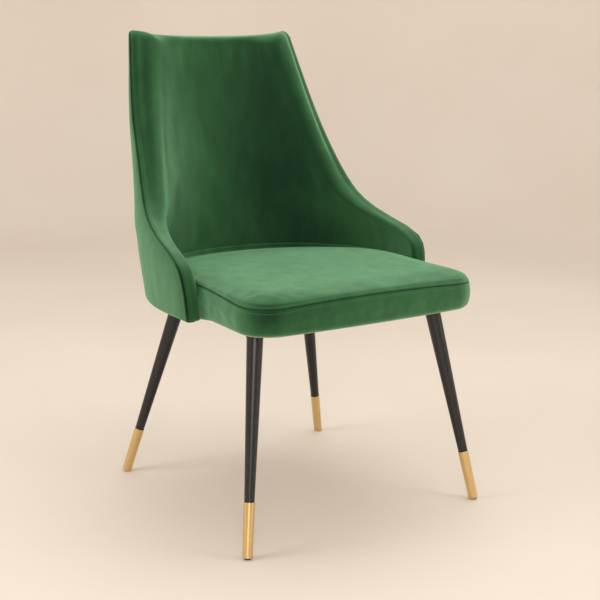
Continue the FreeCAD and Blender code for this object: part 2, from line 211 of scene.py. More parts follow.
def settle(piece, loose, pressure, cap, spare):
    """Cloth simulation under the padding's pressure, applied to the mesh; seams are held.

    A point moves by at most cap, and spare is how much larger the cloth is than its place. One
    subdivision follows.
    """
    data, scene = piece.data, bpy.context.scene
    rest = np.empty(len(data.vertices) * 3)
    data.vertices.foreach_get("co", rest)
    group = piece.vertex_groups.new(name="held")
    for i, free in enumerate(loose):
        group.add([i], 1 - float(free), "REPLACE")
    cloth = piece.modifiers.new("cloth", "CLOTH")
    settings = cloth.settings
    settings.quality, settings.mass, settings.air_damping = 6, .3, 1.0
    settings.tension_stiffness = settings.compression_stiffness = 15
    settings.shear_stiffness, settings.bending_stiffness = 6, .6
    settings.use_pressure, settings.uniform_pressure_force = True, pressure
    settings.vertex_group_mass, settings.pin_stiffness = "held", 1.0
    settings.shrink_min = -spare
    settings.effector_weights.gravity = 0
    cloth.collision_settings.use_collision = False
    cloth.point_cache.frame_start, cloth.point_cache.frame_end = 1, CLOTH_FRAMES
    for frame_number in range(1, CLOTH_FRAMES + 1):
        scene.frame_set(frame_number)
    moved = np.empty_like(rest)
    posed = piece.evaluated_get(bpy.context.evaluated_depsgraph_get())
    posed.data.vertices.foreach_get("co", moved)
    piece.modifiers.remove(cloth)
    piece.vertex_groups.remove(group)
    scene.frame_set(1)
    # a soft limit on how far each point moves
    step = (moved - rest).reshape(-1, 3)
    length = np.linalg.norm(step, axis=1, keepdims=True)
    step *= cap * np.tanh(length / cap) / np.maximum(length, 1e-9)
    data.vertices.foreach_set("co", (rest.reshape(-1, 3) + step).ravel())
    finer = piece.modifiers.new("finer", "SUBSURF")
    finer.levels = finer.render_levels = 1
    with bpy.context.temp_override(object=piece, active_object=piece):
        bpy.ops.object.modifier_apply(modifier=finer.name)
    data.update()
    return piece


# ---------------------------------------------------------------- the shell's surfaces
LEVELS = np.arange(380, 981) * MM       # the section's curves are known at each millimetre
CURVES = [blurred(smooth(table, LEVELS, column), 5) for table, column in
          ((RIM, 1), (RIM, 2), (BACK_Y, 1), (ELBOW_X, 1), (RIM_TURN, 1), (WING_RIM, 1),
           (WING_RIM, 2), (WING_ELBOW, 1))]
SECTION = np.linspace(0, 1, 65)


def section_poles(z, depth):
    """Poles of the half section at height z, at a depth in from the outer face."""
    width, rim_y, back, elbow, turn, rim_in, rim_forward, elbow_in = (
        np.interp(z, LEVELS, curve) for curve in CURVES)
    turn, k = np.radians(turn), depth / SHELL_T
    full = np.clip((depth - PLY_DEPTH) / (SHELL_T - PLY_DEPTH), 0, 1)
    middle = np.stack([0 * width, back - depth], -1)
    bend = np.stack([elbow - k * ELBOW_SHIFT - full * elbow_in, back - depth], -1)
    end = np.stack([width - depth * np.cos(turn) - full * rim_in,
                    rim_y - depth * np.sin(turn) - full * rim_forward], -1)
    return middle, bend, end


def section_lengths(z):
    """Length along the half section from the centre line to each place in SECTION."""
    middle, bend, end = section_poles(z, MID_DEPTH)
    first, last = (bend - middle)[..., None, :], (end - bend)[..., None, :]
    s = SECTION[:, None]
    speed = 2 * np.linalg.norm(first * (1 - s) + last * s, axis=-1)
    steps = (speed[..., 1:] + speed[..., :-1]) / 2 * (SECTION[1] - SECTION[0])
    return np.concatenate([0 * steps[..., :1], np.cumsum(steps, -1)], -1)


def half_span(z):
    """Length along the section from the centre line to the rim."""
    return section_lengths(z)[..., -1]


def section_place(across, z):
    """Place along the half section (0 middle, 1 rim) at a distance across from the centre."""
    lengths = section_lengths(z)
    distance = np.abs(across)[..., None]
    i = np.clip((lengths < distance).sum(-1), 1, len(SECTION) - 1)[..., None]
    low, high = np.take_along_axis(lengths, i - 1, -1), np.take_along_axis(lengths, i, -1)
    return ((i - 1 + (distance - low) / (high - low)) * (SECTION[1] - SECTION[0]))[..., 0]


def shell_point(across, z, depth):
    """Point of the shell: across from the centre line, height, depth in from the outer face."""
    across, z, depth = np.broadcast_arrays(across, z, depth)
    s = section_place(across, z)[..., None]
    middle, bend, end = section_poles(z, depth)
    p = middle * (1 - s) ** 2 + bend * 2 * s * (1 - s) + end * s * s
    return np.stack([np.copysign(p[..., 0], across), p[..., 1], z], -1)


def top_edge(share):
    """Height of the shell's top edge at a share of the half span, -1 and 1 at the rims."""
    z = np.full(np.shape(share), TOP_MIDDLE_Z)
    for _ in range(4):
        span = half_span(z)
        place = section_place(share * span, z)
        from_rim = span * (1 - np.abs(share))
        z = TOP_MIDDLE_Z + TOP_RISE * place ** 2 - CORNER_H * quarter(from_rim / CORNER_W)
    return z


def edge_line():
    """The shell's edge as distances across and heights: up one side and along the top."""
    share = 1 - spaced([0, .002, .005, .009, .014, .02, .027, .036, .047, .06], .02)
    top = top_edge(share)
    side_z = np.linspace(.3, top[0], 240)
    return (np.concatenate([half_span(side_z), (share * half_span(top))[1:]]),
            np.concatenate([side_z, top[1:]]))


EDGE_LINE = np.stack(edge_line(), -1)


def from_edge(across, z):
    """Distance from the shell's edge, measured over its surface."""
    p = np.stack([np.abs(across), z], -1)[..., None, :]
    a, b = EDGE_LINE[:-1], EDGE_LINE[1:]
    run = b - a
    t = np.clip(((p - a) * run).sum(-1) / (run * run).sum(-1), 0, 1)[..., None]
    return np.linalg.norm(p - a - t * run, axis=-1).min(-1)


def bulge(across, z):
    """How far the outer panels stand proud of the CAD shell."""
    span = half_span(z)
    share = np.abs(across) / span
    edge = from_edge(across, z)
    return smooth(BULGE, z) * ease(edge / BULGE_EDGE_W) * (0.35 + 0.65 * ease((share - .2) / .4))


# ---------------------------------------------------------------- back cushion
# the edge's profile as (distance in from the edge, depth): from the inner face over the padded
# rim to the seam, where it turns in beside the outer panel, and round the plywood's edge
RIM_PROFILE = np.array([(-.7, 14.4), (-1.2, 11.8), (-1.5, 9.2), (-1.5, 7.0), (-1.2, 5.2),
                        (-.7, 3.9), (-.3, 3.0), (.2, 2.3), (1.0, 1.9), (2.0, 2.2),
                        (3.4, 4.0)]) * MM
RIM_SEAM_DEPTH = 3.6 * MM   # the profile is down in the seam at less than this depth, where the velvet gets crushed pile and painted shade
TUCK_Z = 470 * MM           # the cover is held below the seat's top
FREE_EDGE, FREE_W = 6 * MM, 40 * MM         # and within the edge; it gets free over this width
SKIRT_COLUMNS = 3           # columns of the inner face that go down the arm's front
# the skirt's rows: (height, how far the cover is tucked in there)
SKIRT = np.array([(420, 0), (415, 0), (411, 0), (408.6, .8), (406.9, 2), (406, 3.6)])
COLUMN_STEPS = [0, .003, .0075, .013, .0195, .027, .036, .047, .06, .077, .1, .125, .15, .18, .21]
ROW_STEPS = [0, .002, .005, .009, .014, .02, .027, .036, .047, .06, .08]


def edge_ring(numbers):
    """Border of a grid, from the bottom left up, over the top and down the right."""
    return np.concatenate([numbers[0, :], numbers[1:, -1], numbers[-1, -2::-1]])


def back_cushion():
    """Inner cover over its foam: inner face, padded rim, and hidden face on the plywood."""
    near = spaced(COLUMN_STEPS, .035)
    share = np.concatenate([near[:-1] - 1, 1 - near[::-1]])
    rows = 1 - spaced(ROW_STEPS, .03)[::-1]
    low = BOARD_TOP_Z + .6 * MM
    top = top_edge(share)
    z = low + (top - low)[:, None] * rows
    across = share[:, None] * half_span(z)
    edge = from_edge(across, z)
    edge[0], edge[-1], edge[:, -1] = 0, 0, 0
    # the roll is small along the middle of the top and grows towards the wings
    from_side, from_top = half_span(z) - np.abs(across), top[:, None] - z
    along_top = ease(1.6 * from_side / (from_side + from_top + .1 * MM) - .6)[..., None]
    along_top = along_top * (1 - ease((np.abs(share) - .5) / .35))[:, None, None]
    roll = np.stack([smooth(ROLL, z), smooth(ROLL, z, 2)], -1) * (1 - along_top)
    roll += along_top * TOP_ROLL
    depth = SHELL_T - roll[..., 1] * quarter(edge / roll[..., 0])
    mesh = Mesh()
    free = ease((edge - FREE_EDGE) / FREE_W) * ease((z - TUCK_Z) / FREE_W)
    inner = mesh.add(shell_point(across, z, depth), loose=free)
    mesh.quads(inner)

    ring = edge_ring(inner)
    ring_at = np.stack([edge_ring(across), edge_ring(z)], -1)
    tangent = np.gradient(ring_at, axis=0)
    outward = np.stack([-tangent[:, 1], tangent[:, 0]], -1)
    outward /= np.linalg.norm(outward, axis=1, keepdims=True)
    outward[0], outward[-1] = (-1, 0), (1, 0)
    last = ring
    bands = []
    for inset, deep in RIM_PROFILE:
        at = ring_at - outward * inset
        # points down in the seam are darkened: crushed pile and painted shade
        band = mesh.add(shell_point(at[:, 0], at[:, 1], deep), float(deep < RIM_SEAM_DEPTH))
        mesh.strip(last, band)
        bands.append(band)
        last = band
    span = half_span(z)
    hidden = mesh.add(shell_point(across * (1 - PLY_EDGE / span), z - PLY_EDGE * rows, PLY_DEPTH))
    mesh.quads(hidden)
    mesh.strip(last, edge_ring(hidden))

    # bottom: a cap over the board, and a skirt down each arm's front
    wrapped = SKIRT_COLUMNS
    mesh.strip(inner[wrapped - 1:1 - wrapped, 0], hidden[wrapped - 1:1 - wrapped, 0])
    for side in (0, -1):
        step = 1 if side == 0 else -1
        columns = list(range(wrapped - 1, -1, -1)) if side == 0 else list(range(-wrapped, 0))
        loop = [inner[c, 0] for c in columns] + [band[side] for band in bands] + [hidden[side, 0]]
        mesh.face([hidden[side, 0], hidden[side + step, 0], hidden[side + 2 * step, 0],
                   inner[side + 2 * step, 0]])
        sign = -1 if side == 0 else 1
        insets = [half_span(low) - abs(across[c, 0]) for c in columns]
        insets += list(RIM_PROFILE[:, 0]) + [PLY_EDGE]
        depths = [depth[c, 0] for c in columns] + list(RIM_PROFILE[:, 1]) + [PLY_DEPTH]
        insets, depths = np.array(insets), np.array(depths)
        loop = np.array(loop)
        for height, tuck in SKIRT * MM:
            tucked = np.minimum(insets + tuck * (insets < PLY_EDGE - .1 * MM), PLY_EDGE)
            at_rim = np.maximum(depths, np.minimum(depths + tuck, 3 * MM + tuck))
            deep = np.where(depths > 20 * MM, depths - tuck, at_rim)
            turned = mesh.add(shell_point(sign * (half_span(height) - tucked), height, deep))
            mesh.strip(loop, turned, wrap=True)
            loop = turned
        mesh.face(loop)
    return settle(mesh.build("back_cushion"), np.concatenate(mesh.loose), 3.0, 2 * MM, .001)


# ---------------------------------------------------------------- outer panels
PANEL_T = 2.2 * MM
TURN_ANGLES = [90, 76, 62, 48, 34, 22, 11]      # rows round the lower turn
LOW_TURN_R = 4, 6           # radius at the arm's front, and what it gains on the way back, in mm
SEAM_DEEP, SEAM_W = 2.0 * MM, 3.2 * MM          # valley of the seams between the panels
RIM_EDGE_W, RIM_SHADE_W = 3.4 * MM, 2.2 * MM    # the edge turns in beside the cushion's seam; the second width is where it is darkened with crushed pile and painted shade
LIP_H, LIP_AT, LIP_W = .5 * MM, 3.6 * MM, 1.6 * MM      # the cloth stands up beside a seam


def outer_cover(name, side):
    """One outer panel. side is -1 or 1 for a side panel and 0 for the back panel."""
    fine = spaced([0, .004, .010, .018, .03, .05, .08], .06, .5)
    along = np.concatenate([fine[:-1], 1 - fine[::-1]])
    rows = 1 - spaced(ROW_STEPS, .03)[::-1]

    def across_at(z):
        span = half_span(z)
        seam = np.stack([np.interp(PANEL_SEAM_T, SECTION, lengths)
                         for lengths in section_lengths(z).reshape(-1, len(SECTION))])
        seam = seam.reshape(np.shape(z))
        if side == 0:
            return seam * (2 * along[:, None] - 1)
        return side * (seam + (span - seam) * along[:, None])

    # lower turn, tighter near the arm's front
    low = np.full(len(along), SHELL_HEM_Z + 16 * MM)
    z = low[:, None] + 0 * rows
    distance = from_edge(across_at(z), z)[:, 0]
    radius = (LOW_TURN_R[0] + LOW_TURN_R[1] * ease(distance / (45 * MM))) * MM
    centre = SHELL_HEM_Z + radius
    top = TOP_MIDDLE_Z + 0 * along
    for _ in range(5):
        share = across_at(top[:, None])[:, 0] / half_span(top)
        top = top_edge(np.clip(share, -1, 1))
    wall_z = centre[:, None] + (top - centre)[:, None] * rows
    angles = np.radians(TURN_ANGLES)
    turn_z = centre[:, None] - radius[:, None] * np.sin(angles)
    turn_depth = radius[:, None] * (1 - np.cos(angles))
    hem_z = np.full((len(along), 2), SHELL_HEM_Z)
    hem_depth = np.maximum(radius, HEM_DEPTH)[:, None] + np.array([.6, .3]) * MM
    hem_depth[:, 1] = (hem_depth[:, 0] + radius) / 2
    z = np.concatenate([hem_z, turn_z, wall_z], 1)
    depth = np.concatenate([hem_depth, turn_depth, 0 * wall_z], 1)
    across = across_at(z)
    edge = from_edge(across, np.minimum(z, top[:, None]))
    if side:
        to_seam = np.abs(np.abs(across) - np.abs(across[0]))
    else:
        to_seam = np.minimum(np.abs(across - across[0]), np.abs(across - across[-1]))
    valley = SEAM_DEEP * quarter(to_seam / SEAM_W)
    rim_turn = SEAM_DEEP * quarter(edge / RIM_EDGE_W)
    lip = LIP_H * np.exp(-((to_seam - LIP_AT) / LIP_W) ** 2)
    depth = depth + np.maximum(valley, rim_turn) - bulge(across, z) - lip
    mesh = Mesh()
    skin_points = shell_point(across, z, depth)
    inward = -normals_of(skin_points)
    centre_line = np.array([0, 0, .7])
    if ((skin_points - centre_line) * -inward).sum() < 0:
        inward = -inward
    # darkening in the seam valleys and at the rim's edge: crushed pile and painted shade
    shade = np.maximum(quarter(to_seam / SEAM_W), quarter(edge / RIM_SHADE_W))
    skin = mesh.add(skin_points, shade)
    # the panel's hidden back face is fully darkened: painted shade
    back = mesh.add(skin_points + inward * PANEL_T, 1.0)
    mesh.quads(skin)
    mesh.quads(back)
    for a, b in ((skin[0], back[0]), (skin[-1], back[-1]), (skin[:, 0], back[:, 0]),
                 (skin[:, -1], back[:, -1])):
        mesh.strip(a, b)
    return mesh.build(name)


# ---------------------------------------------------------------- seat cushion
FRONT_STEPS, SIDE_STEPS = 44, 40        # quads along the front and along each side
TOP_INSETS = np.array([6.5, 9, 12.5, 17, 22, 28, 35, 43, 52, 62]) * MM
# the seam of the top: (inset, height above the seam) from the top's lip through the valley
SEAM_PATH = np.array([(4.4, 3.4), (2.8, 2.3), (1.7, 1.1), (1.3, .1), (1.7, -.7), (3.4, -1.2),
                      (4.4, -1.7), (3.2, -2.2), (1.4, -2.8), (.5, -3.6), (0, -5.0),
                      (-.2, -6.6)]) * MM
# darkening down the seam's valley: crushed pile and painted shade
SEAM_SHADE = [0, 0, 0, .15, .8, 1, 1, 1, .8, .15, 0, 0]
WALL_FREE = [0, .3, .8, 1, 1, .8, .4, 0]        # down the boxing
WALL_SWELL = 1.7 * MM       # the boxing's belly
BOX_ROUND_R = 13 * MM       # rounding of its lower edge, all but gone beside the arms' fronts
ROUND_ANGLES = [18, 36, 54, 72, 90]
BY_ARM_W, SQUEEZED, SQUARED = 13 * MM, 4.2 * MM, .85    # there it is pressed against the arm
REAR_FROM, REAR_W = 16 * MM, 14 * MM    # behind their fronts it goes over to a plain wall
REAR_INSET = 2.5 * MM       # whose foot stands in by this
HEM_LIP = .3 * MM           # foam and hem over the board
HEM_INSET = 12 * MM
WRAP_INSET = 14.8 * MM      # the boxing's hem ends here, under the board
BOARD_INSET = 8.6 * MM      # the cushion's foam wraps the board's edge


def seat_outline():
    """Closed line of the seat's plan, from the front left corner's middle round by the right."""
    corner = np.array([SEAT_HALF_FRONT - SEAT_CORNER_R, SEAT_FRONT_Y + SEAT_CORNER_R])
    x = np.linspace(0, corner[0], 80)
    bow = np.stack([x, SEAT_FRONT_Y - SEAT_BOW * (1 - (x / corner[0]) ** 2)], 1)
    turn = np.linspace(-math.pi / 2, 0, 60)[1:, None]
    arc = corner + SEAT_CORNER_R * np.concatenate([np.cos(turn), np.sin(turn)], 1)
    arm = np.array([SEAT_HALF_REAR, ARM_FRONT_Y])
    line = arc[-1] + (arm - arc[-1]) * np.linspace(0, 1, 60)[1:, None]
    t = np.linspace(0, 1, 160)[1:, None]
    rear = (arm * (1 - t) ** 2 + np.array([SEAT_ELBOW_X, SEAT_REAR_Y]) * 2 * t * (1 - t)
            + np.array([0, SEAT_REAR_Y]) * t * t)
    half = np.concatenate([bow, arc, line, rear])
    loop = np.concatenate([half, half[-2:0:-1] * (-1, 1)])
    run = np.concatenate([[0], np.cumsum(np.linalg.norm(np.diff(loop, axis=0, append=loop[:1]),
                                                        axis=1))])
    even = np.linspace(0, run[-1], round(run[-1] / MM) + 1)[:-1]
    closed = np.concatenate([loop, loop[:1]])
    loop = np.stack([np.interp(even, run, closed[:, k]) for k in (0, 1)], 1)
    reach = 24
    kernel = np.exp(-0.5 * (np.arange(-reach, reach + 1) / 6) ** 2)
    kernel /= kernel.sum()
    padded = np.concatenate([loop[-reach:], loop, loop[:reach]])
    loop = np.stack([np.convolve(padded[:, k], kernel, "valid") for k in (0, 1)], 1)
    tangent = (np.roll(loop, -1, 0) - np.roll(loop, 1, 0)) / 2
    outward = np.stack([tangent[:, 1], -tangent[:, 0]], 1)
    outward /= np.linalg.norm(outward, axis=1, keepdims=True)
    # corners are where the outward direction is diagonal
    count = len(loop)
    half_count = count // 2
    front = int(np.argmax(outward[:half_count] @ np.array([1, -1])))
    back = int(np.argmax(outward[:half_count] @ np.array([1, 1])))
    marks = [-front, front, back, count - back, count - front]
    places = np.concatenate([np.linspace(a, b, n + 1)[:-1] for a, b, n in
                             zip(marks, marks[1:], (FRONT_STEPS, SIDE_STEPS) * 2)]) % count
    i = places.astype(int) % count
    f = (places - places.astype(int))[:, None]
    j = (i + 1) % count
    line = loop[i] * (1 - f) + loop[j] * f
    out = outward[i] * (1 - f) + outward[j] * f
    return line, out / np.linalg.norm(out, axis=1, keepdims=True)


def dome_z(x, y):
    """Height of the sphere that the seat's seam follows."""
    return CROWN_Z - CROWN_R + np.sqrt(CROWN_R ** 2 - x ** 2 - (y - CROWN_Y) ** 2)


def patch(ring):
    """Grid of plan points inside a ring of FRONT_STEPS and SIDE_STEPS points."""
    a, b = FRONT_STEPS, SIDE_STEPS
    front, right = ring[:a + 1], ring[a:a + b + 1]
    rear = ring[a + b:2 * a + b + 1][::-1]
    left = np.concatenate([ring[2 * a + b:], ring[:1]])[::-1]
    u, v = np.linspace(0, 1, a + 1)[:, None, None], np.linspace(0, 1, b + 1)[None, :, None]
    return ((1 - v) * front[:, None] + v * rear[:, None] + (1 - u) * left[None] + u * right[None]
            - ((1 - u) * (1 - v) * front[0] + u * (1 - v) * front[-1]
               + (1 - u) * v * rear[0] + u * v * rear[-1]))


def fill(mesh, ring, plan, height, loose=0.0):
    """Closes a ring of points with a grid; height gives z from x and y."""
    grid = patch(plan)
    a, b = FRONT_STEPS, SIDE_STEPS
    numbers = np.zeros((a + 1, b + 1), int)
    inside = grid[1:-1, 1:-1]
    points = np.concatenate([inside, height(inside)[..., None]], -1)
    numbers[1:-1, 1:-1] = mesh.add(points, loose=loose)
    numbers[:, 0] = ring[:a + 1]
    numbers[-1, :] = ring[a:a + b + 1]
    numbers[:, -1] = ring[a + b:2 * a + b + 1][::-1]
    numbers[0, :] = np.concatenate([ring[2 * a + b:], ring[:1]])[::-1]
    mesh.quads(numbers)


def seam_height(x, y):
    return dome_z(x, y) + SEAM_LIFT


def top_height(edge, x, y):
    """Height of the seat's top: nearly level, falling to the rear and rolling down to the seam."""
    behind = ease((y - ARM_FRONT_Y) / (60 * MM))
    level = TOP_Z - REAR_FALL * ease((y + 30 * MM) / (250 * MM))
    roll = (level - seam_height(x, y) - REAR_ROLL_H) * (1 - behind) + REAR_ROLL_H * behind
    return level - roll * np.exp(-(edge / EDGE_ROLL_W) ** 1.1)


def seat_cushion():
    """Top, seam and boxing over the foam, hemmed round the board's edge."""
    line, out = seat_outline()
    mesh = Mesh()

    def ring(inset, z, shade=0.0, loose=0.0):
        plan = line - out * np.reshape(inset, (-1, 1))
        points = np.concatenate([plan, np.broadcast_to(z, len(line))[:, None]], 1)
        return mesh.add(points, shade, loose), plan

    seam_z = seam_height(line[:, 0], line[:, 1])
    rear = ease((line[:, 1] - ARM_FRONT_Y - REAR_FROM) / REAR_W)
    by_arm = np.exp(-((line[:, 1] - ARM_FRONT_Y) / BY_ARM_W) ** 2)
    wall_top = seam_z + SEAM_PATH[-1, 1]
    wall_low = SEAT_HEM_Z + BOX_ROUND_R
    low_z = BOARD_TOP_Z + HEM_LIP

    # (inset, height) of each row: the seam, the wall, its rounding, and the hem round the board
    rows = [(inset, seam_z + lift) for inset, lift in SEAM_PATH]
    for share in np.linspace(0, 1, 9)[1:]:
        swell = WALL_SWELL * np.sin(math.pi * (share * .93 + .04)) ** 1.2
        rows.append((-swell, wall_top + (wall_low - wall_top) * share))
    for angle in np.radians(ROUND_ANGLES):
        rows.append((BOX_ROUND_R * (1 - math.cos(angle)) * (1 - SQUARED * by_arm),
                     wall_low - BOX_ROUND_R * math.sin(angle)))
    rows += [(HEM_INSET, SEAT_HEM_Z), (WRAP_INSET, SEAT_HEM_Z),
             (WRAP_INSET, SEAT_HEM_Z + HEM_LIP), (BOARD_INSET, SEAT_HEM_Z + HEM_LIP),
             (BOARD_INSET, low_z)]
    first_wall = len(SEAM_PATH)
    rings = []
    for k, (inset, z) in enumerate(rows):
        shade, free, wall = 0.0, 0, k - first_wall
        if wall < 0:
            shade = SEAM_SHADE[k]
        else:
            share = (wall + 1) / (len(rows) - first_wall)
            inset = inset * (1 - rear) + rear * REAR_INSET * share
            z = z * (1 - rear) + rear * (wall_top + (low_z - wall_top) * share)
            inset = inset - SQUEEZED * by_arm * ease(share * 4)
            if wall < len(WALL_FREE):
                free = WALL_FREE[wall] * (1 - rear)
        rings.append(ring(inset, z, shade, free)[0])

    last = rings[0]
    for inset in TOP_INSETS:
        plan = line - out * inset
        free = ease((inset - 8 * MM) / (30 * MM))
        numbers, plan = ring(inset, top_height(inset, plan[:, 0], plan[:, 1]), 0.0, free)
        mesh.strip(last, numbers, wrap=True)
        last = numbers

    def inner_height(p):
        edge = np.linalg.norm(p[..., None, :] - line, axis=-1).min(-1)
        return top_height(edge, p[..., 0], p[..., 1])

    fill(mesh, last, plan, inner_height, 1.0)
    for a, b in zip(rings, rings[1:]):
        mesh.strip(a, b, wrap=True)
    last = rings[-1]
    for inset in (30 * MM, 60 * MM):
        numbers, plan = ring(inset, low_z)
        mesh.strip(last, numbers, wrap=True)
        last = numbers
    fill(mesh, last, plan, lambda p: np.full(p.shape[:-1], low_z))
    return settle(mesh.build("seat_cushion"), np.concatenate(mesh.loose), 4.0, 3 * MM, .006)


# ---------------------------------------------------------------- stitches
STITCH_PITCH, STITCH_HALF_L, STITCH_R = 3.8 * MM, 1.5 * MM, .34 * MM
STITCH_RISE, STITCH_SINK = .55 * MM, .35 * MM


def even_path(points, normals):
    """Points and normals at the stitch pitch along a path, with the path's direction."""
    steps = np.linalg.norm(np.diff(points, axis=0), axis=1)
    run = np.concatenate([[0], np.cumsum(steps)])
    at = np.linspace(0, run[-1], max(2, round(run[-1] / STITCH_PITCH)))
    place = np.stack([np.interp(at, run, points[:, k]) for k in range(3)], 1)
    normal = np.stack([np.interp(at, run, normals[:, k]) for k in range(3)], 1)
    along = np.gradient(place, axis=0)
    along /= np.linalg.norm(along, axis=1, keepdims=True)
    normal -= along * (normal * along).sum(1, keepdims=True)
    return place, normal / np.linalg.norm(normal, axis=1, keepdims=True), along


def stitches(name, paths):
    """Rows of short thread arches that dive into the velvet at both ends."""
    mesh = Mesh()
    share = np.array([-1, -.72, 0, .72, 1])[None, :, None, None]
    turn = np.linspace(0, 2 * math.pi, 7)[:-1]
    for points, normals in paths:
        place, normal, along = (v[:, None, None] for v in even_path(points, normals))
        across = np.cross(along, normal)
        lift = STITCH_RISE * (1 - share ** 2) - STITCH_SINK
        radius = STITCH_R * np.sqrt(1 - .75 * share ** 2)
        grid = (place + along * share * STITCH_HALF_L + normal * lift
                + radius * (across * np.cos(turn)[:, None] + normal * np.sin(turn)[:, None]))
        numbers = mesh.add(grid)
        for stitch in numbers:
            for a, b in zip(stitch, stitch[1:]):
                mesh.strip(a, b, wrap=True)
            mesh.face(stitch[0])
            mesh.face(stitch[-1])
    return mesh.build(name)


def rim_row(inset, depth, low=412 * MM):
    """Path round the shell's rim at a distance in from its edge and a depth."""
    line = EDGE_LINE[EDGE_LINE[:, 1] > low]
    line = np.concatenate([line * (-1, 1), line[-2::-1]])
    tangent = np.gradient(line, axis=0)
    outward = np.stack([-tangent[:, 1], tangent[:, 0]], 1)
    outward /= np.linalg.norm(outward, axis=1, keepdims=True)
    at = line - outward * inset
    points = shell_point(at[:, 0], at[:, 1], depth - bulge(at[:, 0], at[:, 1]) * (inset > 0))
    if inset > 0:
        return points, points - shell_point(at[:, 0], at[:, 1], depth + MM)
    inner = at - outward * MM
    return points, points - shell_point(inner[:, 0], inner[:, 1], depth)


def panel_rows(gap):
    """Paths up both sides of the seams between the side panels and the back panel."""
    z = np.linspace(418 * MM, 932 * MM, 120)
    seam = np.array([np.interp(PANEL_SEAM_T, SECTION, row) for row in section_lengths(z)])
    paths = []
    for side in (-1, 1):
        for offset in (-gap, gap):
            across = side * (seam + offset)
            points = shell_point(across, z, -bulge(across, z) - .45 * MM)
            paths.append((points, points - shell_point(across, z, MM)))
    return paths


def boxing_row():
    """Path along the boxing under the seat's seam, from arm to arm round the front."""
    line, out = seat_outline()
    front = np.roll(line[:, 1] < ARM_FRONT_Y + 2 * MM, len(line) // 2)
    line, out = (np.roll(v, len(line) // 2, 0)[front] for v in (line, out))
    z = seam_height(line[:, 0], line[:, 1]) - 8.2 * MM
    points = np.column_stack([line + out * .35 * MM, z])
    return points, np.column_stack([out, 0 * z])


# ---------------------------------------------------------------- materials


class Nodes:
    """A material's node tree, with short calls to add and link nodes."""

    def __init__(self, name):
        self.material = bpy.data.materials.new(name)
        self.material.use_nodes = True
        self.tree = self.material.node_tree
        self.surface = self.tree.nodes["Principled BSDF"]
        self.place = self.add("ShaderNodeTexCoord").outputs["Object"]

    def add(self, kind, **settings):
        node = self.tree.nodes.new(kind)
        for key, value in settings.items():
            if key in node.inputs:
                node.inputs[key].default_value = value
            else:
                setattr(node, key, value)
        return node

    def link(self, output, socket):
        self.tree.links.new(output, socket)

    def noise(self, scale, detail=2.0, stretch=(1, 1, 1), roughness=.5):
        mapping = self.add("ShaderNodeMapping", Scale=stretch)
        self.link(self.place, mapping.inputs["Vector"])
        node = self.add("ShaderNodeTexNoise", Scale=scale, Detail=detail, Roughness=roughness)
        self.link(mapping.outputs["Vector"], node.inputs["Vector"])
        return node.outputs["Fac"]

    def ramp(self, value, stops):
        node = self.add("ShaderNodeValToRGB")
        elements = node.color_ramp.elements
        for i, (place, colour) in enumerate(stops):
            element = elements[i] if i < 2 else elements.new(place)
            element.position = place
            element.color = (*colour, 1)
        self.link(value, node.inputs["Fac"])
        return node.outputs["Color"]

    def mix(self, share, a, b, mode="MIX"):
        node = self.add("ShaderNodeMix", data_type="RGBA", blend_type=mode)
        if isinstance(share, float):
            node.inputs[0].default_value = share
        else:
            self.link(share, node.inputs[0])
        self.link(a, node.inputs[6])
        self.link(b, node.inputs[7])
        return node.outputs[2]

    def maths(self, operation, a, b):
        node = self.add("ShaderNodeMath", operation=operation)
        for value, socket in ((a, node.inputs[0]), (b, node.inputs[1])):
            if isinstance(value, (int, float)):
                socket.default_value = value
            else:
                self.link(value, socket)
        return node.outputs[0]

    def bump(self, height, distance, strength=1.0, below=None):
        node = self.add("ShaderNodeBump", Distance=distance, Strength=strength)
        self.link(height, node.inputs["Height"])
        if below is not None:
            self.link(below, node.inputs["Normal"])
        return node.outputs["Normal"]

    def set(self, **values):
        for key, value in values.items():
            socket = self.surface.inputs[key.replace("_", " ")]
            if hasattr(value, "is_output"):
                self.link(value, socket)
            else:
                socket.default_value = value


def velvet(name):
    """Short green pile: a painted sheen makes its base colour dark where it faces the eye, pale
    where it is seen along its surface.
    """
    n = Nodes(name)
    broad = n.noise(5.0, 3.0, (1, 1, .6))
    # painted sheen: the base colour is ramped by how squarely the surface faces the eye
    facing = n.add("ShaderNodeLayerWeight", Blend=.5).outputs["Facing"]
    colour = n.ramp(facing, [(0, (.0112, .041, .0178)), (.05, (.0168, .058, .0258)),
                             (.12, (.023, .080, .033)), (.20, (.031, .106, .042)),
                             (.46, (.062, .162, .083)), (.62, (.104, .235, .130)),
                             (.85, (.122, .240, .142))])
    patches = n.ramp(broad, [(.3, (.90, .90, .90)), (.7, (1.08, 1.08, 1.08))])
    colour = n.mix(1.0, colour, patches, "MULTIPLY")
    brushed = n.noise(38.0, 3.0, (1, 1, .35))
    streaks = n.ramp(brushed, [(.3, (.86, .86, .86)), (.7, (1.12, 1.12, 1.12))])
    colour = n.mix(1.0, colour, streaks, "MULTIPLY")
    pile = n.noise(1500.0, 2.0)
    tips = n.ramp(pile, [(.3, (.72, .72, .72)), (.7, (1.25, 1.25, 1.25))])
    colour = n.mix(1.0, colour, tips, "MULTIPLY")
    # darker down in the seams: partly crushed pile, partly painted shade in the seam valleys
    seam = n.add("ShaderNodeAttribute", attribute_name="seam").outputs["Fac"]
    crushed_pile_and_shade = n.ramp(seam, [(0, (1, 1, 1)), (.85, (.34, .38, .34))])
    colour = n.mix(1.0, colour, crushed_pile_and_shade, "MULTIPLY")
    height = n.maths("ADD", pile, n.maths("MULTIPLY", brushed, 1.6))
    n.set(Base_Color=colour, Roughness=.82, Normal=n.bump(height, .00035, .55))
    n.surface.inputs["Specular IOR Level"].default_value = .05
    n.surface.inputs["Sheen Weight"].default_value = .5
    n.surface.inputs["Sheen Roughness"].default_value = .30
    n.surface.inputs["Sheen Tint"].default_value = (.28, .82, .42, 1)
    return n.material


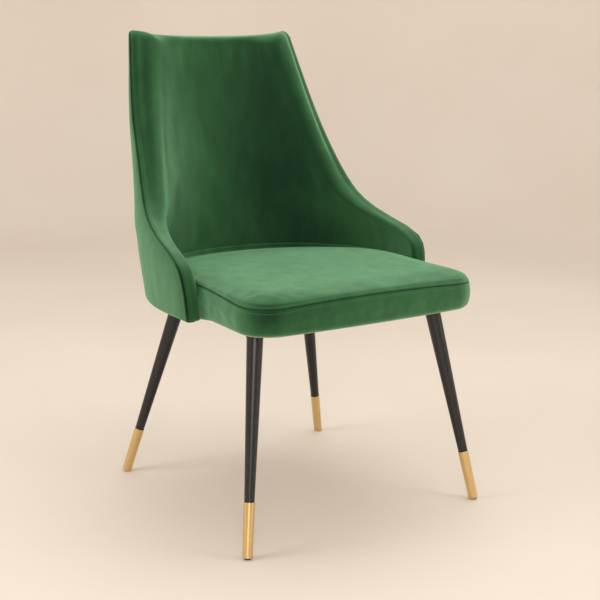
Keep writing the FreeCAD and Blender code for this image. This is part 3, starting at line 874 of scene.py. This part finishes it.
def thread(name):
    n = Nodes(name)
    twist = n.noise(2500.0, 1.0, (1, 1, .4))
    colour = n.ramp(twist, [(.3, (.02, .085, .03)), (.7, (.05, .16, .07))])
    n.set(Base_Color=colour, Roughness=.6, Normal=n.bump(twist, .0001))
    n.surface.inputs["Sheen Weight"].default_value = .5
    n.surface.inputs["Sheen Tint"].default_value = (.5, .9, .6, 1)
    return n.material


def powder_coat(name):
    n = Nodes(name)
    peel = n.noise(900.0, 2.0)
    colour = n.ramp(n.noise(30.0), [(.3, (.004, .004, .0045)), (.7, (.0065, .0065, .007))])
    rough = n.maths("ADD", n.maths("MULTIPLY", n.noise(60.0, 3.0), .10), .26)
    n.set(Base_Color=colour, Roughness=rough, Normal=n.bump(peel, .00012, .6))
    return n.material


def brass(name):
    n = Nodes(name)
    lines = n.noise(300.0, 2.0, (1, 1, .08))
    colour = n.ramp(n.noise(9.0, 2.0), [(.3, (.66, .46, .205)), (.7, (.71, .505, .235))])
    rough = n.maths("ADD", n.maths("MULTIPLY", lines, .08), .22)
    n.set(Base_Color=colour, Metallic=1.0, Roughness=rough, Normal=n.bump(lines, .00002, .4))
    return n.material


def zinc(name):
    n = Nodes(name)
    spangle = n.noise(160.0, 3.0)
    colour = n.ramp(spangle, [(.35, (.42, .43, .45)), (.65, (.58, .59, .60))])
    n.set(Base_Color=colour, Metallic=1.0, Normal=n.bump(spangle, .00005, .5),
          Roughness=n.maths("ADD", n.maths("MULTIPLY", spangle, .2), .25))
    return n.material


def plastic(name):
    n = Nodes(name)
    grain = n.noise(700.0, 2.0)
    colour = n.ramp(n.noise(50.0), [(.3, (.012, .012, .012)), (.7, (.022, .022, .022))])
    n.set(Base_Color=colour, Roughness=.5, Normal=n.bump(grain, .0001, .5))
    return n.material


def plywood(name):
    n = Nodes(name)
    grain = n.noise(60.0, 4.0, (.12, 1, 1))
    plies = n.noise(700.0, 1.0, (.01, .01, 1))
    colour = n.ramp(grain, [(.3, (.42, .26, .13)), (.7, (.62, .44, .26))])
    shade = n.ramp(plies, [(.4, (.75, .75, .75)), (.6, (1, 1, 1))])
    n.set(Base_Color=n.mix(1.0, colour, shade, "MULTIPLY"), Roughness=.7,
          Normal=n.bump(grain, .0002, .5))
    return n.material


def dust_cloth(name):
    n = Nodes(name)
    fibres = n.noise(900.0, 3.0, (1, 1, 1), .8)
    dimples = n.add("ShaderNodeTexVoronoi", Scale=420.0)
    n.link(n.place, dimples.inputs["Vector"])
    colour = n.ramp(fibres, [(.3, (.010, .010, .011)), (.7, (.035, .035, .037))])
    height = n.maths("ADD", fibres, dimples.outputs["Distance"])
    n.set(Base_Color=colour, Roughness=.9, Normal=n.bump(height, .0003, .7))
    return n.material


# ---------------------------------------------------------------- pieces
velvet_material = velvet("green_velvet")


def cover_piece(piece, *nodes):
    """Velvet piece that stands for the CAD nodes named."""
    piece.data.materials.append(velvet_material)
    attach(piece, "root")
    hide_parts(*nodes)
    return piece


back = cover_piece(back_cushion(), "back_inner_cover", "back_foam")
seat = cover_piece(seat_cushion(), "seat_top_cover", "seat_boxing_cover", "seat_foam")
cover_piece(outer_cover("outer_side_right", 1), "outer_side_panel_right")
cover_piece(outer_cover("outer_side_left", -1), "outer_side_panel_left")
cover_piece(outer_cover("outer_back", 0), "outer_back_panel", "back_wadding")

sewn = {"rim_stitches": [rim_row(-1.45 * MM, 6.2 * MM), rim_row(4.4 * MM, -.45 * MM)],
        "panel_stitches": panel_rows(4.2 * MM), "boxing_stitches": [boxing_row()]}
thread_material = thread("green_thread")
for name, paths in sewn.items():
    piece = stitches(name, paths)
    piece.data.materials.append(thread_material)
    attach(piece, "root")

# the longest start of a node's name that is listed here gives its finish
finishes = {"leg_tube": powder_coat("black_powder_coat"), "leg_sleeve": brass("satin_brass"),
            "foot_glide": plastic("glide_plastic"), "leg_": zinc("zinc_plate"),
            "dust_cover": dust_cloth("dust_cloth"), "base_board": plywood("plywood")}
finishes["leg_plate"] = finishes["leg_tube"]
finishes["back_ply_shell"] = finishes["base_board"]
finishes["shell_screws"] = finishes["cover_staples"] = finishes["leg_"]
for name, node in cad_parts.items():
    if not node.hide_render:
        key = max((k for k in finishes if name.startswith(k)), key=len)
        node.data.materials.clear()
        node.data.materials.append(finishes[key])

# ---------------------------------------------------------------- stage, light and camera
CAMERA_PLACE, CAMERA_TARGET = (-1.3105, -2.0462, .9206), (.0227, -.0230, .3986)
CAMERA_LENS = 72.07


def stage():
    """Pale floor that turns up into a low round wall, far enough for every view."""
    mesh = Mesh()
    radius, curve, height = 4.6, 1.4, 4.2
    profile = [(0.02, 0)] + [(r, 0) for r in np.linspace(.6, radius - curve, 6)]
    profile += [(radius - curve + curve * math.sin(a), curve * (1 - math.cos(a)))
                for a in np.linspace(.15, math.pi / 2, 9)]
    profile.append((radius, height))
    turns = np.linspace(0, 2 * math.pi, 97)[:-1]
    rows = np.array([[(r * math.cos(a), r * math.sin(a), z) for r, z in profile] for a in turns])
    numbers = mesh.add(rows)
    mesh.quads(numbers, wrap=True)
    mesh.face(numbers[:, 0])
    floor = mesh.build("studio_floor")
    n = Nodes("pale_plaster")
    tone = n.noise(1.2, 3.0)
    colour = n.ramp(tone, [(.3, (.80, .73, .65)), (.7, (.84, .775, .70))])
    n.set(Base_Color=colour, Roughness=.55, Normal=n.bump(n.noise(60.0, 3.0), .0006, .3))
    floor.data.materials.append(n.material)


def area_light(name, place, target, size, watts, colour):
    """Round soft light that the camera doesn't see."""
    data = bpy.data.lights.new(name, "AREA")
    data.shape, data.size, data.energy, data.color = "DISK", size, watts, colour
    light = bpy.data.objects.new(name, data)
    light.location = place
    aim = Vector(target) - Vector(place)
    light.rotation_euler = aim.to_track_quat("-Z", "Y").to_euler()
    light.visible_camera = False
    bpy.context.scene.collection.objects.link(light)


def camera():
    data = bpy.data.cameras.new("camera")
    data.lens, data.sensor_width = CAMERA_LENS, 36.0
    data.clip_start, data.clip_end = .05, 60
    view = bpy.data.objects.new("camera", data)
    view.location = CAMERA_PLACE
    aim = Vector(CAMERA_TARGET) - view.location
    view.rotation_euler = aim.to_track_quat("-Z", "Y").to_euler()
    bpy.context.scene.collection.objects.link(view)
    bpy.context.scene.camera = view


stage()
area_light("key", (-3.3, .8, 2.0), (0, 0, .5), 2.0, 46, (1, .97, .93))
area_light("overhead", (.6, .2, 3.3), (0, 0, .4), 2.6, 36, (1, .98, .95))
area_light("front", (-2.2, -3.4, 1.5), (0, 0, .5), 1.6, 48, (1, .97, .93))
area_light("fill", (2.4, -3.0, 1.7), (0, 0, .5), 2.2, 34, (1, .96, .9))
camera()
world = bpy.data.worlds.new("studio")
world.use_nodes = True
world.node_tree.nodes["Background"].inputs["Color"].default_value = (1, .95, .88, 1)
world.node_tree.nodes["Background"].inputs["Strength"].default_value = .58
bpy.context.scene.world = world
bpy.context.scene.view_settings.view_transform = "Standard"
